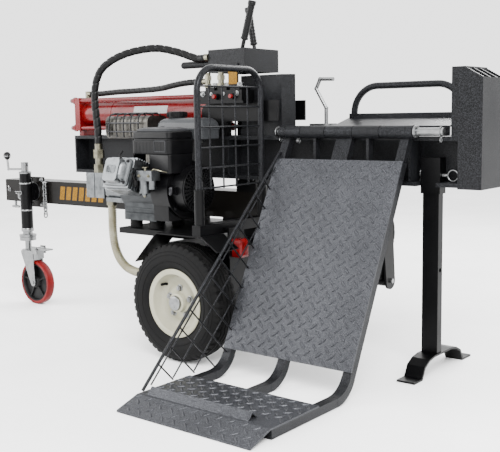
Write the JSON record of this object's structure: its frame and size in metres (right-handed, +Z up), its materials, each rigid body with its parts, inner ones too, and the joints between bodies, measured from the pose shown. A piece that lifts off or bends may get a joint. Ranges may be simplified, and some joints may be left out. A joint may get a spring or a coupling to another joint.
{
  "type": "log splitter",
  "caption": "Towable petrol hydraulic log splitter: horizontal beam with sliding wedge and end plate, side log lift, log table, two road wheels, jack caster and rear stand.",
  "frame": {"origin": "on the ground, in the middle of the bounding box", "axes": "+X along the beam from the drawbar towards the end plate, +Y away from the lift side, +Z up"},
  "size_m": [2.369, 1.356, 1.2271],
  "materials": {
    "powder_dark": "textured dark grey powder coat with fine speckle",
    "powder_black": "satin black powder coat",
    "tongue_paint": "dark bronze-grey gloss paint with plain amber stripes",
    "hammered": "hammered grey coat, fine metallic speckle",
    "tread_plate": "metallic grey coat over raised five-bar tread",
    "red_paint": "gloss red paint, slightly worn edges",
    "zinc": "bright zinc plate, lightly dulled",
    "rod_chrome": "polished hard chrome",
    "cast_alloy": "as-cast alloy, satin",
    "tyre_rubber": "matte black, fine dust in the tread",
    "rim_cream": "gloss cream enamel",
    "black_plastic": "matte moulded black",
    "tank_grey": "satin grey enamel",
    "muffler_steel": "heat-dulled plated steel",
    "hose_rubber": "spiral-wrapped matte black",
    "hose_clear": "translucent ribbed straw-coloured",
    "mount_rubber": "matte",
    "fitting_brass": "yellow-passivated plating",
    "lens_red": "glossy moulded red lens",
    "caster_red": "moulded red tread on a black core"
  },
  "bodies": {
    "frame": {"main_beam": "powder_dark", "tongue": "tongue_paint", "chassis_brackets": "powder_black", "axle_tank": "powder_black", "fenders": "powder_black", "tail_lights": "lens_red", "guard_frame": "hammered", "guard_mesh": "hammered", "cylinder_barrel": "red_paint", "cylinder_base": "red_paint", "cylinder_gland": "red_paint", "tie_rods": "red_paint", "end_plate": "powder_dark", "leg_sleeve": "powder_black", "lift_pivot_pin": "zinc", "log_table": "hammered", "hook_rod": "zinc", "valve_block": "powder_black", "valve_cover": "powder_dark", "crankcase": "cast_alloy", "engine_head": "cast_alloy", "fan_housing": "black_plastic", "air_cleaner": "black_plastic", "fuel_tank": "tank_grey", "muffler": "muffler_steel", "carburettor": "cast_alloy", "engine_tray": "powder_black", "rubber_mounts": "mount_rubber", "pump": "cast_alloy", "hydraulic_fittings": "fitting_brass", "suction_hose": "hose_clear", "pressure_hose": "hose_rubber", "cylinder_hose": "hose_rubber", "lift_hose": "hose_rubber", "safety_chains": "zinc", "stand_pin": "zinc"},
    "wheel_near": {"tyre_near": "tyre_rubber", "rim_near": "rim_cream"},
    "wheel_far": {"tyre_far": "tyre_rubber", "rim_far": "rim_cream"},
    "ram": {"ram_rod": "rod_chrome", "wedge": "powder_dark"},
    "lift": {"lift_frame": "hammered", "lift_plate": "tread_plate", "lift_platform": "tread_plate", "lift_side_guard": "hammered"},
    "lift_barrel": {"lift_cylinder": "powder_black"},
    "lift_piston": {"lift_rod": "rod_chrome"},
    "lever_split": {"split_lever": "black_plastic"},
    "lever_lift": {"lift_lever": "black_plastic"},
    "jack": {"jack_tube": "powder_black"},
    "jack_inner": {"jack_leg": "zinc"},
    "jack_handle": {"jack_crank": "zinc"},
    "caster": {"caster_fork": "zinc"},
    "caster_roller": {"caster_wheel": "caster_red"},
    "brake": {"caster_brake": "zinc"},
    "stand": {"stand_leg": "powder_black"},
    "crank": {"crankshaft": "muffler_steel"},
    "tank_cap": {"fuel_cap": "black_plastic"},
    "clamp_screw": {"hitch_clamp": "zinc"}
  },
  "joints": [
    {"name": "ram_slide", "type": "slide", "parent": "frame", "child": "ram", "axis": [1, 0, 0], "range_m": [0, 0.61]},
    {"name": "lift_tilt", "type": "hinge", "parent": "frame", "child": "lift", "pos_m": [0.3005, 0.129, 0.767], "axis": [-1, 0, 0], "range_deg": [0, 60]},
    {"name": "lift_cylinder_swing", "type": "hinge", "parent": "frame", "child": "lift_barrel", "pos_m": [0.7755, 0.271, 0.262], "axis": [1, 0, 0], "range_deg": [0, 5.8], "deforming": ["lift_hose"]},
    {"name": "lift_rod_slide", "type": "slide", "parent": "lift_barrel", "child": "lift_piston", "axis": [0, -0.4728, 0.8811], "range_m": [0, 0.149]},
    {"name": "wheel_near_spin", "type": "hinge", "parent": "frame", "child": "wheel_near", "pos_m": [0.2645, -0.169, 0.203], "axis": [0, 1, 0], "continuous": true},
    {"name": "wheel_far_spin", "type": "hinge", "parent": "frame", "child": "wheel_far", "pos_m": [0.2645, 0.621, 0.203], "axis": [0, 1, 0], "continuous": true},
    {"name": "split_lever_pivot", "type": "hinge", "parent": "frame", "child": "lever_split", "pos_m": [0.2585, 0.155, 1.005], "axis": [0, 1, 0], "range_deg": [-12, 12], "stiffness_Nm_per_rad": 4},
    {"name": "lift_lever_pivot", "type": "hinge", "parent": "frame", "child": "lever_lift", "pos_m": [0.2585, 0.261, 1.005], "axis": [0, 1, 0], "range_deg": [-12, 12], "stiffness_Nm_per_rad": 4},
    {"name": "jack_swing", "type": "hinge", "parent": "frame", "child": "jack", "pos_m": [-0.9575, 0.157, 0.5], "axis": [0, -1, 0], "range_deg": [0, 90]},
    {"name": "jack_crank_turn", "type": "hinge", "parent": "jack", "child": "jack_handle", "pos_m": [-0.9575, 0.118, 0.6], "axis": [0, 0, 1], "range_deg": [0, 10800]},
    {"name": "jack_leg_slide", "type": "slide", "parent": "jack", "child": "jack_inner", "axis": [0, 0, -1], "range_m": [0, 0.1201]},
    {"name": "caster_swivel", "type": "hinge", "parent": "jack_inner", "child": "caster", "pos_m": [-0.9575, 0.118, 0.295], "axis": [0, 0, 1], "continuous": true},
    {"name": "caster_roll", "type": "hinge", "parent": "caster", "child": "caster_roller", "pos_m": [-0.9025, 0.118, 0.098], "axis": [0, 1, 0], "continuous": true},
    {"name": "brake_pedal", "type": "hinge", "parent": "caster", "child": "brake", "pos_m": [-0.8785, 0.118, 0.25], "axis": [0, 1, 0], "range_deg": [0, 10]},
    {"name": "stand_slide", "type": "slide", "parent": "frame", "child": "stand", "axis": [0, 0, -1], "range_m": [0, 0.09]},
    {"name": "crankshaft_spin", "type": "hinge", "parent": "frame", "child": "crank", "pos_m": [-0.0195, -0.006, 0.568], "axis": [1, 0, 0], "continuous": true},
    {"name": "fuel_cap_turn", "type": "hinge", "parent": "frame", "child": "tank_cap", "pos_m": [0.0245, 0.076, 0.83], "axis": [0, 0, 1], "continuous": true},
    {"name": "hitch_clamp_turn", "type": "hinge", "parent": "frame", "child": "clamp_screw", "pos_m": [-1.1545, 0.206, 0.45], "axis": [0, 0, 1], "continuous": true}
  ],
  "couplings": [
    {"joint": "lift_cylinder_swing", "follows": "lift_tilt", "ratio": 0.095},
    {"joint": "lift_rod_slide", "follows": "lift_tilt", "m_per_rad": 0.142},
    {"joint": "jack_leg_slide", "follows": "jack_crank_turn", "m_per_rad": 0.00063662}
  ]
}
